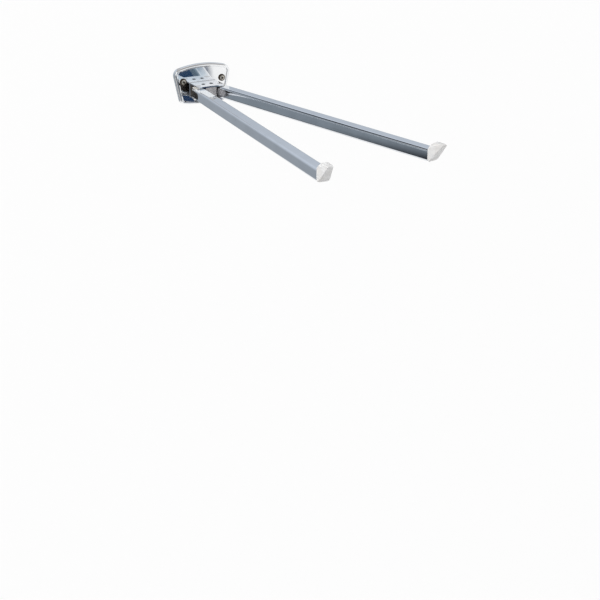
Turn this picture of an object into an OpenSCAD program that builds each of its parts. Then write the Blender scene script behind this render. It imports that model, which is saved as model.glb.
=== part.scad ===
// Two-arm towel holder for a wall, in millimetres.
// The wall is the plane y = 0, the room is on the side of -y, and +z is up.
// The origin lies on the wall behind the middle of the plate's height.

/* [Wall plate] */
// Greatest width of the wall plate
plate_w = 79; // [74:1:100]
// Width of the wall plate at its lower corners
plate_lower_w = 66; // [60:1:72]
// Height of the wall plate at its middle
plate_h = 54; // [50:1:80]
// Depth of the wall plate from the wall to the front of its rim
plate_t = 7; // [6.5:0.5:12]
// Thickness of the plate's metal
plate_wall = 1.6; // [1.2:0.1:2]
// Width of the raised rim
rim_w = 3.2; // [2.8:0.1:5]
// How far the flat panel lies behind the rim
rim_step = 0.7; // [0.3:0.1:1]
// Rounding of the rim's outer edge
rim_round = 2.4; // [1:0.1:2.6]
// Radius of the upper corners
top_corner_r = 9; // [7:0.5:12]
// Radius of the lower corners
lower_corner_r = 7; // [6:0.5:10]
// Radius of the bow along the top edge
top_bow_r = 130; // [100:5:300]
// Radius of the bow along the bottom edge
lower_bow_r = 170; // [120:5:300]
// Thickness of the backing plate
backing_t = 2.6; // [1.5:0.1:3]
// Gap between the backing plate and the wall plate's inner side
backing_gap = 0.4; // [0.2:0.1:1]

/* [Wall screws] */
// Distance between the two wall screws
screw_spacing = 55.6; // [52:0.2:60]
// Height of the screws above the origin
screw_z = 5.5; // [0:0.5:8]
// Diameter of a wall screw over its thread
screw_d = 4.5; // [3.5:0.5:5]
// Diameter of the plain neck under a wall screw's head
screw_neck_d = 3.4; // [2.8:0.1:3.5]
// How far the thread begins in front of the wall
thread_start = 0.5; // [0:0.1:1.5]
// Length of a wall screw under its head
screw_len = 45; // [30:5:60]
// Diameter of a wall screw's head
screw_head_d = 9.2; // [8:0.2:10]
// Height of a wall screw's head
screw_head_h = 2.7; // [2:0.1:3.5]
// Height of the straight side of a wall screw's head
screw_rim_h = 1; // [0.5:0.1:1.5]
// Length of a wall screw's point
screw_point = 6; // [4:0.5:10]
// Depth of the cross recess
recess_depth = 1.6; // [1:0.1:1.8]
// Length of each arm of the cross recess, from tip to tip
recess_len = 5; // [4:0.2:6]
// Width of each arm of the cross recess
recess_w = 1.3; // [0.8:0.1:1.6]
// Gap around a screw in its hole
screw_gap = 0.3; // [0.2:0.1:0.5]

/* [Hinge bracket] */
// Width of the bracket's flanges
flange_w = 37.4; // [36:0.2:42]
// How far the flanges stand out from the panel
flange_reach = 29.6; // [28:0.2:34]
// Thickness of the flanges
flange_t = 1.7; // [1.5:0.1:2.5]
// Thickness of the web that lies on the panel
web_t = 2; // [1.5:0.1:3]
// Height of the upper flange's top face above the origin
bracket_top_z = 3.5; // [0:0.5:6]
// Radius of the flanges' front corners
flange_corner_r = 3; // [1:0.5:5]
// Outer radius of the bends between web and flanges
bend_r = 1.5; // [0.5:0.1:1.5]
// Depth of the spacer between the arms' roots
spacer_depth = 17; // [14:0.5:18]
// Diameter of the rivets
rivet_d = 4; // [3:0.5:4.5]
// Diameter of the rivets' heads
rivet_head_d = 6.8; // [6:0.2:8]
// Height of the rivets' heads
rivet_head_h = 1; // [0.6:0.1:1.4]
// Distance between the rivets
rivet_spacing = 18.7; // [16:0.1:24]
// Diameter of the small rivets that hold the spacer
spacer_rivet_d = 2.4; // [2:0.2:3]
// Diameter of the small rivets' heads
spacer_head_d = 5.2; // [3:0.2:6]
// Height of the small rivets' heads
spacer_head_h = 0.35; // [0.2:0.05:0.6]
// Distance between the spacer's rivets
spacer_rivet_spacing = 11.4; // [8:0.2:11.4]
// Distance of the spacer's rivets from the spacer's back
spacer_rivet_edge = 3.8; // [2:0.1:8]

/* [Arms] */
// Width of an arm's tube
arm_w = 15.4; // [14:0.1:16]
// Height of an arm's tube
arm_h = 14.8; // [13:0.1:18]
// Wall thickness of an arm's tube
arm_wall = 1.2; // [1:0.1:1.5]
// Radius of the tube's corners
arm_corner_r = 3; // [2:0.1:4]
// Length of an arm's tube from its pivot to the end cap
arm_len = 392; // [250:1:500]
// How far the tube's sides are cut back in front of the pivot
ear_len = 20; // [15:0.5:24]
// Angle of the left arm from straight out, as photographed
left_angle = 3; // [0:1:88]
// Angle of the right arm from straight out, as photographed
right_angle = 14; // [0:1:88]

/* [Pivots] */
// Distance between the two pivots
pivot_spacing = 31.4; // [31:0.1:34]
// Distance of the pivots from the flanges' front edge
pivot_edge = 8.1; // [5.6:0.1:9.6]
// Diameter of a pivot pin
pin_d = 5; // [4:0.1:5.6]
// Diameter of the pin's flush head
pin_head_d = 7; // [6.6:0.1:8]
// Depth of the pin's flush head
pin_head_h = 1; // [0.6:0.1:1.4]
// How far a pin runs on below its clip
pin_end = 1.2; // [0.8:0.1:2]
// Outer diameter of the bush on a pin
bush_d = 8; // [7.4:0.1:9]
// Outer diameter of the washers
washer_d = 13; // [11:0.1:14]
// Thickness of the washers
washer_t = 0.5; // [0.3:0.1:1]
// Thickness of a spring washer's metal
spring_t = 0.4; // [0.3:0.1:0.6]
// Height of a spring washer's cone
spring_rise = 0.5; // [0.3:0.1:0.8]
// Diameter of a retaining clip
clip_d = 10.6; // [9:0.2:12]
// Thickness of a retaining clip
clip_t = 0.8; // [0.6:0.1:1.2]
// Depth of the groove that holds a clip
groove_depth = 0.6; // [0.4:0.1:0.8]
// Length of a pivot block inside the closed part of its tube
block_grip = 11; // [8:0.5:20]

/* [End caps] */
// Length of an end cap beyond the tube
cap_len = 19.4; // [16:0.2:24]
// How far the cap's crown stands above the tube
cap_rise = 9.1; // [6:0.1:11]
// How far the cap stands proud of the tube
cap_lip = 0.3; // [0.1:0.1:0.6]
// Length over which the cap's back swells up to the crown
cap_swell = 8.3; // [6:0.1:10]
// How far the crown falls away towards the nose
cap_fall = 1.4; // [0.4:0.1:2]
// How much each side comes in towards the nose
cap_taper = 4.4; // [1:0.1:5]
// Height of the arch that rounds the crown from side to side
cap_arch = 9.4; // [6:0.1:12]
// Rounding of the two lower edges
cap_edge_r = 4; // [3.2:0.1:4]
// Length of the cap's foot along its underside
cap_foot = 0.4; // [0.2:0.1:4]
// Rounding between the cap's foot and its front
foot_r = 1.4; // [0.5:0.1:4]
// Radius of the nose
nose_r = 3.1; // [1.5:0.1:4]
// Length of the plug inside the tube
plug_len = 14; // [8:1:20]
// Wall thickness of the plug
plug_wall = 1.8; // [1.2:0.1:2.4]

/* [Hidden] */

// Fits: what runs, what is seated, and what merely clears
running_gap = 0.05;
seat_gap = 0.02;
clear_gap = 0.3;
cut = 1;
thin = 0.01;

// The panel is the plate's flat front face inside the rim
panel_y = plate_t - rim_step;
pivot_x = pivot_spacing / 2;
pivot_reach = flange_reach - pivot_edge;
pivot_y = panel_y + pivot_reach;

// Heights of the bracket follow the arm that it holds
bracket_inner_h = arm_h + 2 * (washer_t + 2 * running_gap);
bracket_h = bracket_inner_h + 2 * flange_t;
arm_z = bracket_top_z - bracket_h / 2;
ear_r = arm_w / 2;

bore_w = arm_w - 2 * arm_wall;
bore_h = arm_h - 2 * arm_wall;
bore_corner_r = arm_corner_r - arm_wall;

spacer_w = pivot_spacing - arm_w - 2 * clear_gap;
spacer_front = pivot_y + ear_r - clear_gap;
spacer_rivet_reach = spacer_front - panel_y - spacer_depth + spacer_rivet_edge;

round_fn = 64;
arc_steps = 8;

// Wall plate outline
plate_top = plate_h / 2;
upper_centre_x = plate_w / 2 - top_corner_r;
upper_centre_z = plate_top - top_bow_r
    + sqrt(pow(top_bow_r - top_corner_r, 2) - pow(upper_centre_x, 2));
lower_centre_x = plate_lower_w / 2 - lower_corner_r;
lower_centre_z = -plate_top + lower_bow_r
    - sqrt(pow(lower_bow_r - lower_corner_r, 2) - pow(lower_centre_x, 2));

// The straight side touches both corner circles, and its normal points this way
side_dx = upper_centre_x - lower_centre_x;
side_dz = upper_centre_z - lower_centre_z;
side_normal = atan2(side_dz, side_dx)
    - acos((lower_corner_r - top_corner_r) / norm([side_dx, side_dz]));
upper_tangent = atan2(upper_centre_z - (plate_top - top_bow_r), upper_centre_x);
lower_tangent = atan2(lower_centre_z - (lower_bow_r - plate_top), lower_centre_x);

function arc(centre, r, from, to, steps) =
    [for (i = [0:steps]) centre + r * [cos(from + (to - from) * i / steps),
                                       sin(from + (to - from) * i / steps)]];

function mirrored(points) =
    [for (i = [len(points) - 1:-1:0]) [-points[i][0], points[i][1]]];

// Right half from the top to the bottom, drawn in by an inset
function half_outline(inset) = concat(
    arc([0, plate_top - top_bow_r], top_bow_r - inset, 90, upper_tangent, arc_steps),
    arc([upper_centre_x, upper_centre_z], top_corner_r - inset,
        upper_tangent, side_normal, arc_steps),
    arc([lower_centre_x, lower_centre_z], lower_corner_r - inset,
        side_normal, lower_tangent, arc_steps),
    arc([0, lower_bow_r - plate_top], lower_bow_r - inset,
        lower_tangent, -90, arc_steps)
);

// Neighbouring arcs share their end points, which are kept once
function without_repeats(points) =
    [for (i = [0:len(points) - 1])
        if (norm(points[i] - points[(i + 1) % len(points)]) > thin) points[i]];

function plate_outline(inset) =
    without_repeats(concat(half_outline(inset), mirrored(half_outline(inset))));

// Draws a flat shape in x and z, from the depth given towards the room
module standing(from, depth) {
    translate([0, -from, 0]) rotate([90, 0, 0]) linear_extrude(depth) children();
}

module plate_slab(inset, from, depth) {
    standing(from, depth) polygon(plate_outline(inset));
}

module rounded_rect(w, h, r) {
    square([w - 2 * r, h], center = true);
    square([w, h - 2 * r], center = true);
    for (x = [-1, 1], y = [-1, 1])
        translate([x * (w / 2 - r), y * (h / 2 - r)]) circle(r, $fn = round_fn);
}

// A round bar or hole that runs from the depth given towards the room
module round_in(x, z, d, from, depth) {
    translate([x, -from, z]) rotate([90, 0, 0]) cylinder(d = d, h = depth, $fn = round_fn);
}

module at_screws() {
    for (side = [-1, 1]) translate([side * screw_spacing / 2, 0, screw_z]) children();
}

module wall_plate() {
    rim_start = plate_t - rim_round;
    color([0.82, 0.84, 0.86])
    difference() {
        union() {
            plate_slab(0, 0, rim_start);
            hull() {
                for (a = [0:22.5:90])
                    plate_slab(rim_round * (1 - cos(a)),
                               rim_start + rim_round * sin(a) - thin, thin);
            }
        }
        plate_slab(rim_w, panel_y, plate_t);
        plate_slab(plate_wall, -cut, panel_y - plate_wall + cut);
        at_screws() round_in(0, 0, screw_d + 2 * screw_gap, -cut, plate_t + 2 * cut);
        at_bracket_rivets() round_in(0, 0, rivet_d + 2 * seat_gap, -cut, plate_t + 2 * cut);
    }
}

backing_front = panel_y - plate_wall;

module backing_plate() {
    color([0.55, 0.56, 0.57])
    difference() {
        plate_slab(plate_wall + backing_gap, backing_front - backing_t, backing_t);
        at_screws() round_in(0, 0, screw_d + 2 * screw_gap, -cut, plate_t + 2 * cut);
        at_bracket_rivets() round_in(0, 0, rivet_d + 2 * seat_gap, -cut, plate_t + 2 * cut);
    }
}

// A wall screw: domed head with a cross recess, plain neck, threaded length and point
module wall_screws() {
    neck = panel_y - thread_start;
    threaded = screw_len - screw_point - neck;
    tip_d = 1;
    color([0.42, 0.37, 0.32])
    at_screws() translate([0, -panel_y, 0]) rotate([90, 0, 0])
    difference() {
        union() {
            rotate_extrude($fn = round_fn) polygon(screw_profile());
            translate([0, 0, -neck]) cylinder(d = screw_neck_d, h = neck, $fn = round_fn);
            translate([0, 0, -neck - threaded])
                cylinder(d = screw_d, h = threaded, $fn = round_fn);
            translate([0, 0, -screw_len])
                cylinder(d1 = tip_d, d2 = screw_d, h = screw_point, $fn = round_fn);
        }
        for (turn = [0, 90])
            rotate([0, 0, turn]) translate([0, 0, screw_head_h])
                cube([recess_len, recess_w, 2 * recess_depth], center = true);
    }
}

// Half section of the pan head: a short straight side, then a dome
function screw_profile() = concat(
    [[0, 0], [screw_head_d / 2, 0]],
    [for (a = [0:10:90]) [screw_head_d / 2 * cos(a),
                          screw_rim_h + (screw_head_h - screw_rim_h) * sin(a)]]
);

// The bracket's frame: x across, y from the panel towards the room, z from the arm's axis
module in_bracket() {
    translate([0, -panel_y, arm_z]) children();
}

module at_bracket_rivets() {
    for (side = [-1, 1]) translate([side * rivet_spacing / 2, 0, arm_z]) children();
}

module at_spacer_rivets() {
    for (side = [-1, 1])
        translate([side * spacer_rivet_spacing / 2, -spacer_rivet_reach, 0]) children();
}

module at_pivots() {
    for (side = [-1, 1]) translate([side * pivot_x, -pivot_reach, 0]) children();
}

module flange_plan() {
    translate([0, -(flange_reach - flange_corner_r) / 2])
        square([flange_w, flange_reach - flange_corner_r], center = true);
    translate([0, -flange_reach / 2])
        square([flange_w - 2 * flange_corner_r, flange_reach], center = true);
    for (side = [-1, 1])
        translate([side * (flange_w / 2 - flange_corner_r), -(flange_reach - flange_corner_r)])
            circle(flange_corner_r, $fn = round_fn);
}

// Section of the U from the side, with the panel at zero
module bracket_section() {
    difference() {
        union() {
            translate([-flange_reach - cut, -bracket_h / 2])
                square([flange_reach + cut - bend_r, bracket_h]);
            translate([-2 * bend_r, -bracket_h / 2 + bend_r])
                square([2 * bend_r, bracket_h - 2 * bend_r]);
            for (side = [-1, 1])
                translate([-bend_r, side * (bracket_h / 2 - bend_r)])
                    circle(bend_r, $fn = round_fn);
        }
        translate([-flange_reach - 2 * cut, -bracket_inner_h / 2])
            square([flange_reach + 2 * cut - web_t, bracket_inner_h]);
    }
}

module hinge_bracket() {
    color([0.86, 0.88, 0.9])
    in_bracket()
    difference() {
        intersection() {
            rotate([90, 0, 90]) translate([0, 0, -flange_w / 2])
                linear_extrude(flange_w) bracket_section();
            translate([0, 0, -bracket_h / 2 - cut])
                linear_extrude(bracket_h + 2 * cut) flange_plan();
        }
        at_pivots() cylinder(d = pin_d + 2 * seat_gap, h = bracket_h + 2 * cut,
                             center = true, $fn = round_fn);
        at_pivots() translate([0, 0, bracket_h / 2 - pin_head_h])
            cylinder(d1 = pin_d + 2 * seat_gap, d2 = pin_head_d + 2 * seat_gap,
                     h = pin_head_h, $fn = round_fn);
        at_spacer_rivets() cylinder(d = spacer_rivet_d + 2 * seat_gap, h = bracket_h + 2 * cut,
                                    center = true, $fn = round_fn);
        for (side = [-1, 1])
            round_in(side * rivet_spacing / 2, 0, rivet_d + 2 * seat_gap, -cut, web_t + 2 * cut);
    }
}

// Rivets through web, panel and backing plate, with a low head at each end
module bracket_rivets() {
    back = backing_front - backing_t;
    color([0.7, 0.71, 0.72])
    at_bracket_rivets() {
        round_in(0, 0, rivet_d, back, panel_y + web_t - back);
        round_in(0, 0, rivet_head_d, back - rivet_head_h, rivet_head_h);
        round_in(0, 0, rivet_head_d, panel_y + web_t, rivet_head_h);
    }
}

module centre_spacer() {
    color([0.5, 0.47, 0.44])
    in_bracket()
    difference() {
        translate([-spacer_w / 2, -(spacer_front - panel_y), -bracket_inner_h / 2])
            cube([spacer_w, spacer_depth, bracket_inner_h]);
        at_spacer_rivets() cylinder(d = spacer_rivet_d + 2 * seat_gap, h = bracket_h,
                                    center = true, $fn = round_fn);
    }
}

module spacer_rivets() {
    color([0.5, 0.5, 0.5])
    in_bracket() at_spacer_rivets() {
        cylinder(d = spacer_rivet_d, h = bracket_h, center = true, $fn = round_fn);
        for (side = [0, 1]) mirror([0, 0, side]) translate([0, 0, bracket_h / 2])
            cylinder(d = spacer_head_d, h = spacer_head_h, $fn = round_fn);
    }
}

// The frame of an arm: its pivot at the origin, and the arm along -y
module in_arm(side) {
    turn = side < 0 ? -left_angle : right_angle;
    translate([side * pivot_x, -pivot_y, arm_z]) rotate([0, 0, turn]) children();
}

// Plan of an arm's root, round about its pivot
module root_plan(r, length) {
    circle(r, $fn = round_fn);
    translate([-r, -length]) square([2 * r, length]);
}

module rooted(r, length) {
    intersection() {
        children();
        linear_extrude(2 * arm_h, center = true) root_plan(r, length);
    }
}

module arm_tube(side) {
    window_h = arm_h - 2 * arm_corner_r;
    color([0.78, 0.8, 0.83])
    in_arm(side)
    difference() {
        rooted(ear_r, arm_len)
            standing(-ear_r, arm_len + ear_r) rounded_rect(arm_w, arm_h, arm_corner_r);
        standing(-ear_r - cut, arm_len + ear_r + 2 * cut)
            rounded_rect(bore_w, bore_h, bore_corner_r);
        // Both side walls are open from the root to the round end of the window
        translate([-arm_w, -(ear_len - window_h / 2), -window_h / 2])
            cube([2 * arm_w, ear_len + ear_r, window_h]);
        translate([-arm_w, -(ear_len - window_h / 2), 0]) rotate([0, 90, 0])
            cylinder(d = window_h, h = 2 * arm_w, $fn = round_fn);
        cylinder(d = pin_d + 2 * clear_gap, h = 2 * arm_h, center = true, $fn = round_fn);
    }
}

module pivot_block(side) {
    block_w = bore_w - 2 * seat_gap;
    block_h = bore_h - 2 * seat_gap;
    color([0.4, 0.38, 0.36])
    in_arm(side)
    difference() {
        rooted(block_w / 2, ear_len + block_grip)
            standing(-ear_r, ear_len + block_grip + ear_r)
                rounded_rect(block_w, block_h, bore_corner_r);
        cylinder(d = bush_d + 2 * seat_gap, h = 2 * arm_h, center = true, $fn = round_fn);
    }
}

module pivot_bush(side) {
    color([0.93, 0.91, 0.86])
    in_arm(side)
    difference() {
        cylinder(d = bush_d, h = bore_h - 2 * seat_gap, center = true, $fn = round_fn);
        cylinder(d = pin_d + 2 * running_gap, h = arm_h, center = true, $fn = round_fn);
    }
}

// Heights under the bottom flange, downwards from the arm's axis
spring_top = bracket_h / 2;
clip_top = spring_top + spring_t + spring_rise;
pin_bottom = clip_top + clip_t + pin_end;

module pivot_pin(side) {
    groove_h = clip_t + 2 * running_gap;
    color([0.75, 0.76, 0.78])
    in_arm(side)
    difference() {
        union() {
            translate([0, 0, -pin_bottom])
                cylinder(d = pin_d, h = pin_bottom + bracket_h / 2, $fn = round_fn);
            translate([0, 0, bracket_h / 2 - pin_head_h])
                cylinder(d1 = pin_d, d2 = pin_head_d, h = pin_head_h, $fn = round_fn);
        }
        translate([0, 0, -clip_top - clip_t - running_gap])
        difference() {
            cylinder(d = pin_d + cut, h = groove_h, $fn = round_fn);
            translate([0, 0, -cut])
                cylinder(d = pin_d - 2 * groove_depth, h = groove_h + 2 * cut, $fn = round_fn);
        }
    }
}

module washer(z) {
    translate([0, 0, z])
    difference() {
        cylinder(d = washer_d, h = washer_t, $fn = round_fn);
        translate([0, 0, -cut])
            cylinder(d = pin_d + 2 * running_gap, h = washer_t + 2 * cut, $fn = round_fn);
    }
}

module upper_washer(side) {
    color([0.95, 0.95, 0.93])
    in_arm(side) washer(arm_h / 2 + running_gap);
}

module lower_washer(side) {
    color([0.95, 0.95, 0.93])
    in_arm(side) washer(-arm_h / 2 - running_gap - washer_t);
}

// A cone of thin steel, wide edge against the bottom flange
module spring_washer(side) {
    inner = pin_d / 2 + running_gap;
    outer = clip_d / 2 - clear_gap;
    color([0.6, 0.6, 0.6])
    in_arm(side) translate([0, 0, -spring_top])
        rotate_extrude($fn = round_fn)
            polygon([[outer, 0], [outer, -spring_t], [inner, -spring_t - spring_rise],
                     [inner, -spring_rise]]);
}

module retaining_clip(side) {
    neck = pin_d - 2 * groove_depth + 2 * seat_gap;
    mouth = neck * 0.9;
    color([0.35, 0.35, 0.36])
    in_arm(side) translate([0, 0, -clip_top - clip_t])
    difference() {
        cylinder(d = clip_d, h = clip_t, $fn = round_fn);
        translate([0, 0, -cut]) cylinder(d = neck, h = clip_t + 2 * cut, $fn = round_fn);
        translate([-mouth / 2, 0, -cut]) cube([mouth, clip_d, clip_t + 2 * cut]);
    }
}

// End cap, seen from its side: s runs out from the tube's end and z up from the arm's axis
cap_w = arm_w + 2 * cap_lip;
cap_low = -arm_h / 2 - cap_lip;
cap_shoulder = arm_h / 2 + cap_lip;
cap_top = arm_h / 2 + cap_rise;
swell_steps = 10;
swell_power = 2.4;
arch_step = 12;

nose_centre = [cap_len - nose_r, cap_top - cap_fall - nose_r];
foot_centre = [cap_foot, cap_low + foot_r];

// The crown falls to the nose, and the oblique front touches the nose's and the foot's circles
crown_angle = atan2(cap_fall, nose_centre.x - cap_swell);
front_angle = atan2(nose_centre.y - foot_centre.y, nose_centre.x - foot_centre.x)
    + asin((foot_r - nose_r) / norm(nose_centre - foot_centre));

// The back swells up steeply from the tube and flattens out at the crown
function cap_back() =
    [for (i = [0:swell_steps]) let (t = i / swell_steps)
        [cap_swell * t, cap_top - (cap_top - cap_shoulder) * pow(1 - t, swell_power)]];

function cap_side() = concat(
    cap_back(),
    arc(nose_centre, nose_r, 90 - crown_angle, front_angle - 90, 6),
    arc(foot_centre, foot_r, front_angle - 90, -90, 4),
    [[0, cap_low]]
);

// Seen from the front, the cap is arched above and rounded below
function cap_front() = concat(
    [for (a = [0:arch_step:180]) [cap_w / 2 * cos(a), cap_top + cap_arch * (sin(a) - 1)]],
    arc([cap_edge_r - cap_w / 2, cap_low + cap_edge_r], cap_edge_r, 180, 270, 6),
    arc([cap_w / 2 - cap_edge_r, cap_low + cap_edge_r], cap_edge_r, 270, 360, 6)
);

// Seen from above, both sides come in towards the nose
function cap_plan() =
    let (out = cap_len + cut, tip = cap_w / 2 - cap_taper * out / cap_len)
    [[-cap_w / 2, cut], [-cap_w / 2, 0], [-tip, -out], [tip, -out], [cap_w / 2, 0], [cap_w / 2, cut]];

module cap_body() {
    intersection() {
        rotate([90, 0, -90]) translate([0, 0, -cap_w / 2 - cut])
            linear_extrude(cap_w + 2 * cut) polygon(cap_side());
        standing(-cut, cap_len + 2 * cut) polygon(cap_front());
        translate([0, 0, cap_low - cut])
            linear_extrude(cap_top - cap_low + 2 * cut) polygon(cap_plan());
    }
}

module end_cap(side) {
    color([0.93, 0.92, 0.9])
    in_arm(side) translate([0, -arm_len, 0]) {
        cap_body();
        difference() {
            standing(-plug_len, plug_len + thin)
                rounded_rect(bore_w - 2 * seat_gap, bore_h - 2 * seat_gap, bore_corner_r);
            standing(-plug_len - cut, plug_len + cut)
                square([bore_w - 2 * plug_wall, bore_h - 2 * plug_wall], center = true);
        }
    }
}

wall_plate();
backing_plate();
wall_screws();
hinge_bracket();
bracket_rivets();
centre_spacer();
spacer_rivets();
arm_tube(-1);  // left_arm_tube
end_cap(-1);  // left_end_cap
pivot_block(-1);  // left_pivot_block
pivot_bush(-1);  // left_pivot_bush
pivot_pin(-1);  // left_pivot_pin
upper_washer(-1);  // left_upper_washer
lower_washer(-1);  // left_lower_washer
spring_washer(-1);  // left_spring_washer
retaining_clip(-1);  // left_retaining_clip
arm_tube(1);  // right_arm_tube
end_cap(1);  // right_end_cap
pivot_block(1);  // right_pivot_block
pivot_bush(1);  // right_pivot_bush
pivot_pin(1);  // right_pivot_pin
upper_washer(1);  // right_upper_washer
lower_washer(1);  // right_lower_washer
spring_washer(1);  // right_spring_washer
retaining_clip(1);  // right_retaining_clip
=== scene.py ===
import math

import bmesh
import bpy
from mathutils import Matrix, Vector


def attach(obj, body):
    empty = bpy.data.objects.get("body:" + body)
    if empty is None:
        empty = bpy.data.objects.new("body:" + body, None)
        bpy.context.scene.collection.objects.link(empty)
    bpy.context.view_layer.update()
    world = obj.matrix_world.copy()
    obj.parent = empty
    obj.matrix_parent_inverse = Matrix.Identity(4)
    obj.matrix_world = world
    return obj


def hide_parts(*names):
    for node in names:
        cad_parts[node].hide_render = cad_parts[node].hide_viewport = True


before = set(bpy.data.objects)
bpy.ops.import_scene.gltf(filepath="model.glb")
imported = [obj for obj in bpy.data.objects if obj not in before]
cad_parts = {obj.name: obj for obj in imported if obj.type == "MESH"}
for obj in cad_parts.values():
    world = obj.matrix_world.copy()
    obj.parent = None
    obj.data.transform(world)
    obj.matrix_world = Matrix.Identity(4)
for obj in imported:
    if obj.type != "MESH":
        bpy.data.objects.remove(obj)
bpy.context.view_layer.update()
print("frame loaded with", len(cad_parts), "nodes")

# Two-arm towel holder. Sizes in the dictionaries of pieces are in millimetres, angles in degrees.
# +X is to the right, -Y out of the wall, +Z up, and the wall is the plane y = 0.

mm = 0.001
words = {-1: "left", 1: "right"}


# Small tools for modelling

def clearSelection():
    bpy.ops.object.select_all(action="DESELECT")


def makeActive(piece):
    clearSelection()
    piece.select_set(True)
    bpy.context.view_layer.objects.active = piece


def enter(piece, kind="FACE"):
    makeActive(piece)
    bpy.ops.object.mode_set(mode="EDIT")
    bpy.ops.mesh.select_mode(type=kind)


def leave():
    bpy.ops.object.mode_set(mode="OBJECT")


# In edit mode, selects the vertices, edges or faces that pass a test, and nothing else
def pick(kind, test):
    bpy.ops.mesh.select_mode(type=kind)
    bpy.ops.mesh.select_all(action="DESELECT")
    mesh = bmesh.from_edit_mesh(bpy.context.object.data)
    for item in {"VERT": mesh.verts, "EDGE": mesh.edges, "FACE": mesh.faces}[kind]:
        if test(item):
            item.select_set(True)
    mesh.select_flush_mode()
    bmesh.update_edit_mesh(bpy.context.object.data)


def middle(edge):
    return (edge.verts[0].co + edge.verts[1].co) / 2 / mm


def direction(edge):
    return (edge.verts[1].co - edge.verts[0].co).normalized()


def named(piece, name):
    piece.name = piece.data.name = name
    return piece


# A box from its lowest to its highest corner
def addBox(name, low, high):
    clearSelection()
    bpy.ops.mesh.primitive_cube_add(size=1, location=[(a + b) / 2 * mm for a, b in zip(low, high)])
    piece = bpy.context.object
    piece.scale = [(b - a) * mm for a, b in zip(low, high)]
    bpy.ops.object.transform_apply(location=True, rotation=True, scale=True)
    return named(piece, name)


# An upright cylinder about its middle
def addRod(name, radius, depth, place, steps=48):
    clearSelection()
    bpy.ops.mesh.primitive_cylinder_add(vertices=steps, radius=radius * mm, depth=depth * mm,
                                        location=[value * mm for value in place])
    return named(bpy.context.object, name)


# A flat face through the points given
def addOutline(name, points):
    clearSelection()
    bpy.ops.mesh.primitive_circle_add(vertices=len(points), fill_type="NGON")
    piece = bpy.context.object
    for vertex, point in zip(piece.data.vertices, points):
        vertex.co = Vector(point) * mm
    return named(piece, name)


def extrude(shift):
    bpy.ops.mesh.extrude_region_move(TRANSFORM_OT_translate={"value": Vector(shift) * mm})


def turnOutward():
    bpy.ops.mesh.select_all(action="SELECT")
    bpy.ops.mesh.normals_make_consistent(inside=False)


# Turns a flat face into a closed solid of even thickness
def thicken(piece, shift):
    enter(piece)
    bpy.ops.mesh.select_all(action="SELECT")
    extrude(shift)
    turnOutward()
    leave()
    return piece


# Draws a line through points given as (radius, height) in the plane y = 0, and stays in edit mode
def drawLine(name, points):
    clearSelection()
    bpy.ops.mesh.primitive_plane_add(size=mm)
    piece = named(bpy.context.object, name)
    enter(piece, "VERT")
    bpy.ops.mesh.select_all(action="SELECT")
    bpy.ops.mesh.merge(type="CENTER")
    spot = Vector((points[0][0], 0, points[0][1]))
    bpy.ops.transform.translate(value=spot * mm)
    for radius, height in points[1:]:
        step = Vector((radius, 0, height)) - spot
        extrude(step)
        spot += step
    return piece


# Spins a half section, given from one end of the axis to the other, about Z
def addTurned(name, section, steps=40):
    piece = drawLine(name, section)
    bpy.ops.mesh.select_all(action="SELECT")
    bpy.ops.mesh.spin(steps=steps, angle=2 * math.pi, center=(0, 0, 0), axis=(0, 0, 1))
    bpy.ops.mesh.select_all(action="SELECT")
    bpy.ops.mesh.remove_doubles(threshold=0.002 * mm)
    turnOutward()
    leave()
    return piece


def copyOf(piece, name):
    made = piece.copy()
    made.data = piece.data.copy()
    bpy.context.scene.collection.objects.link(made)
    return named(made, name)


# Turns and moves a piece, and keeps the place in its mesh
def settle(piece, place=(0, 0, 0), turn=(0, 0, 0)):
    makeActive(piece)
    piece.location = Vector(place) * mm
    piece.rotation_euler = [math.radians(angle) for angle in turn]
    bpy.ops.object.transform_apply(location=True, rotation=True, scale=True)
    return piece


def modify(piece, kind, **settings):
    makeActive(piece)
    made = piece.modifiers.new("step", kind)
    for key, value in settings.items():
        setattr(made, key, value)
    bpy.ops.object.modifier_apply(modifier=made.name)


def cutWith(piece, cutter, operation="DIFFERENCE"):
    modify(piece, "BOOLEAN", object=cutter, operation=operation, solver="EXACT")
    bpy.data.objects.remove(cutter)


def smoothUpTo(piece, sharpest):
    makeActive(piece)
    bpy.ops.object.shade_smooth_by_angle(angle=math.radians(sharpest))
    return piece


# Breaks the sharp edges and keeps flat faces flat in the reflections
def polish(piece, edge, segments, sharpest):
    modify(piece, "BEVEL", width=edge * mm, segments=segments, limit_method="ANGLE",
           angle_limit=math.radians(sharpest), use_clamp_overlap=True, miter_outer="MITER_ARC")
    smoothUpTo(piece, sharpest)
    modify(piece, "WEIGHTED_NORMAL", keep_sharp=True, weight=80)
    return piece


def joinTo(piece, other):
    makeActive(piece)
    other.select_set(True)
    bpy.ops.object.join()
    return piece


# Points along an arc, in the two directions of a drawing
def arc(centre, radius, start, end, steps):
    angles = [math.radians(start + (end - start) * i / steps) for i in range(steps + 1)]
    return [(centre[0] + radius * math.cos(a), centre[1] + radius * math.sin(a)) for a in angles]


# Gives a piece its finish and its body, and hides the nodes it stands for
def dress(piece, material, slot, body, *nodes):
    piece.data.materials.clear()
    piece.data.materials.append(material)
    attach(piece, body)
    if nodes:
        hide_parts(*nodes)
    return piece


# Finishes

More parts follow.
